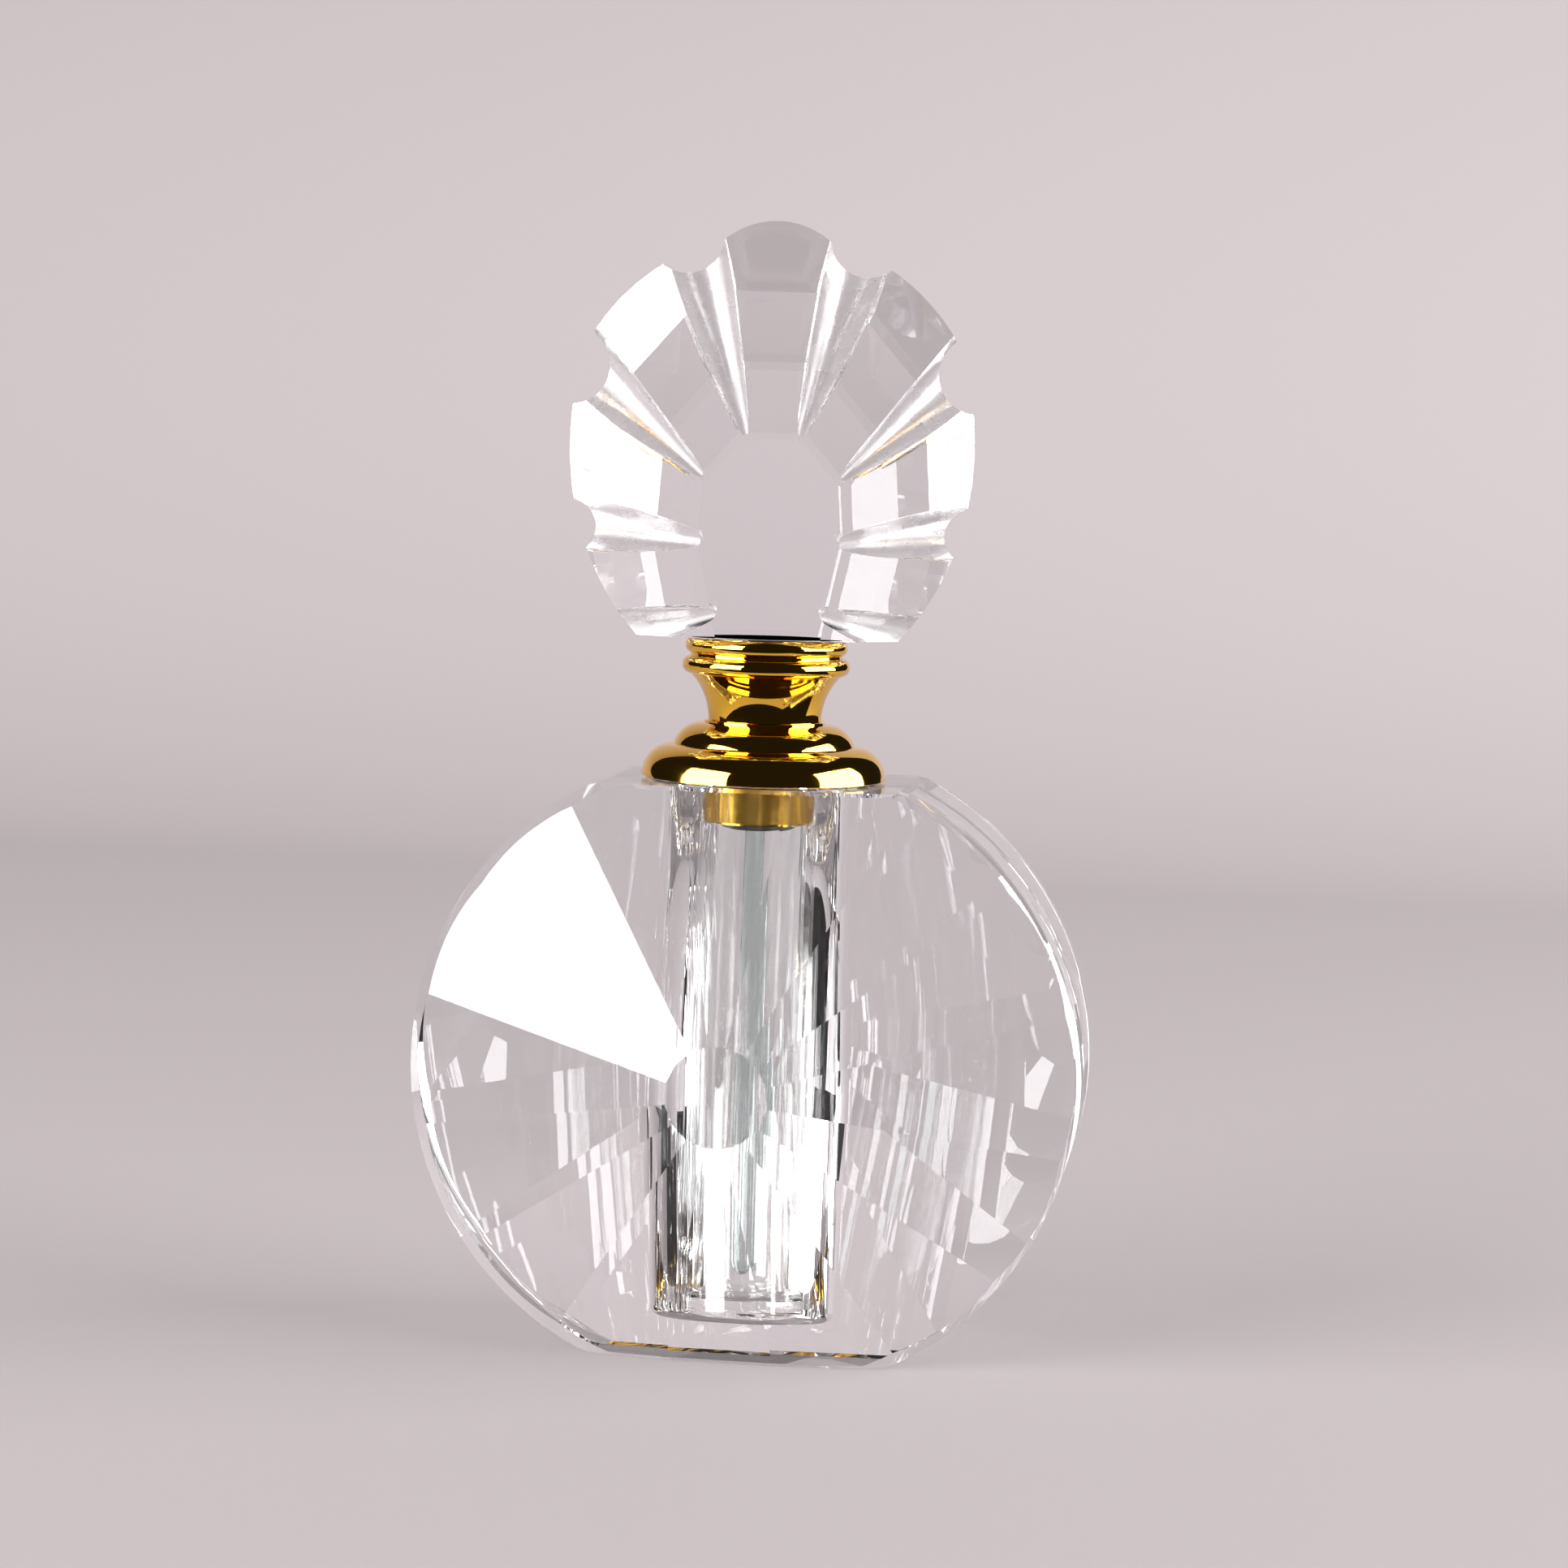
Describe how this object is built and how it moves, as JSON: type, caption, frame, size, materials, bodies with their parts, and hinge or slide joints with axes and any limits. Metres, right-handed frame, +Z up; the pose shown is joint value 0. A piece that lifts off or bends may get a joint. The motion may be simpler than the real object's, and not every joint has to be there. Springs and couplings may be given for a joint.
{
  "type": "perfume bottle",
  "caption": "Flat round fan-cut crystal perfume bottle with an inner glass vial, domed gilt collar and a screw cap that carries a glass dipper and a fluted crystal stopper.",
  "frame": {"origin": "centre of the flat base", "axes": "+Z up along the bore and the dipper; the broad front face looks along -Y; +X to the right seen from the front"},
  "size_m": [0.07, 0.0412, 0.1185],
  "materials": {
    "cut_crystal": "polished, clear",
    "vial_glass": "clear, fire polished",
    "rod_glass": "clear, fire polished",
    "gilt_brass": "mirror-polished gold plate",
    "satin_brass": "satin, drawn",
    "dark_gasket": "matt",
    "washer_plastic": "matt",
    "adhesive": "hardened film"
  },
  "bodies": {
    "bottle": {"crystal_body": "cut_crystal", "glass_vial": "vial_glass", "adhesive_ring": "adhesive", "collar": "gilt_brass", "mouth_sleeve": "satin_brass", "mouth_gasket": "dark_gasket", "thread_neck": "satin_brass"},
    "washer": {"neck_washer": "washer_plastic"},
    "dipper": {"rod_holder": "satin_brass", "dipper_rod": "rod_glass"},
    "cap": {"cap_shell": "gilt_brass", "cap_insert": "satin_brass", "stopper_glue": "adhesive", "stopper_crystal": "cut_crystal"}
  },
  "joints": [
    {"name": "cap_pull", "type": "slide", "parent": "bottle", "child": "washer", "axis": [0, 0, 1], "range_m": [0, 0.066]},
    {"name": "cap_rise", "type": "slide", "parent": "washer", "child": "dipper", "axis": [0, 0, 1], "range_m": [0, 0.0038]},
    {"name": "cap_turn", "type": "hinge", "parent": "dipper", "child": "cap", "pos_m": [0, 0, 0.07], "axis": [0, 0, 1], "range_deg": [0, 900]}
  ],
  "couplings": [
    {"joint": "cap_rise", "follows": "cap_turn", "m_per_rad": 0.00023873}
  ]
}
